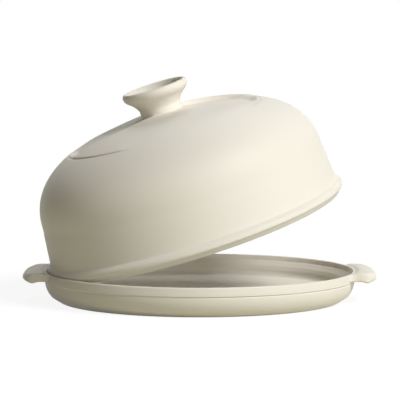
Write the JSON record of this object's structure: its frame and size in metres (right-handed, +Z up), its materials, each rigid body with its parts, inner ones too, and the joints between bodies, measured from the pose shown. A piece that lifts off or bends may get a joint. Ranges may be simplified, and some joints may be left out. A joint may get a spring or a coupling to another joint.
{
  "type": "bread cloche",
  "caption": "Round ceramic baking dish with side ears under a tall domed lid with a cup-shaped knob, the lid shown tilted open.",
  "frame": {"origin": "centre of the dish's foot face, on the surface the dish stands on", "axes": "+Z up along the dish's axis, +X from the dish's axis through the right ear, +Y away from the picture's camera"},
  "size_m": [0.331, 0.292, 0.2099],
  "materials": {
    "dish_glaze": "gloss",
    "lid_glaze": "gloss"
  },
  "bodies": {
    "dish": {"base_dish": "dish_glaze", "ear_left": "dish_glaze", "ear_right": "dish_glaze"},
    "lid": {"dome_shell": "lid_glaze", "lid_knob": "lid_glaze"}
  },
  "joints": [
    {"name": "lid_tilt", "type": "hinge", "parent": "dish", "child": "lid", "pos_m": [-0.1249, -0.02939, 0.0347], "axis": [0.229, -0.9734, 0], "range_deg": [-17.69, 42]}
  ]
}
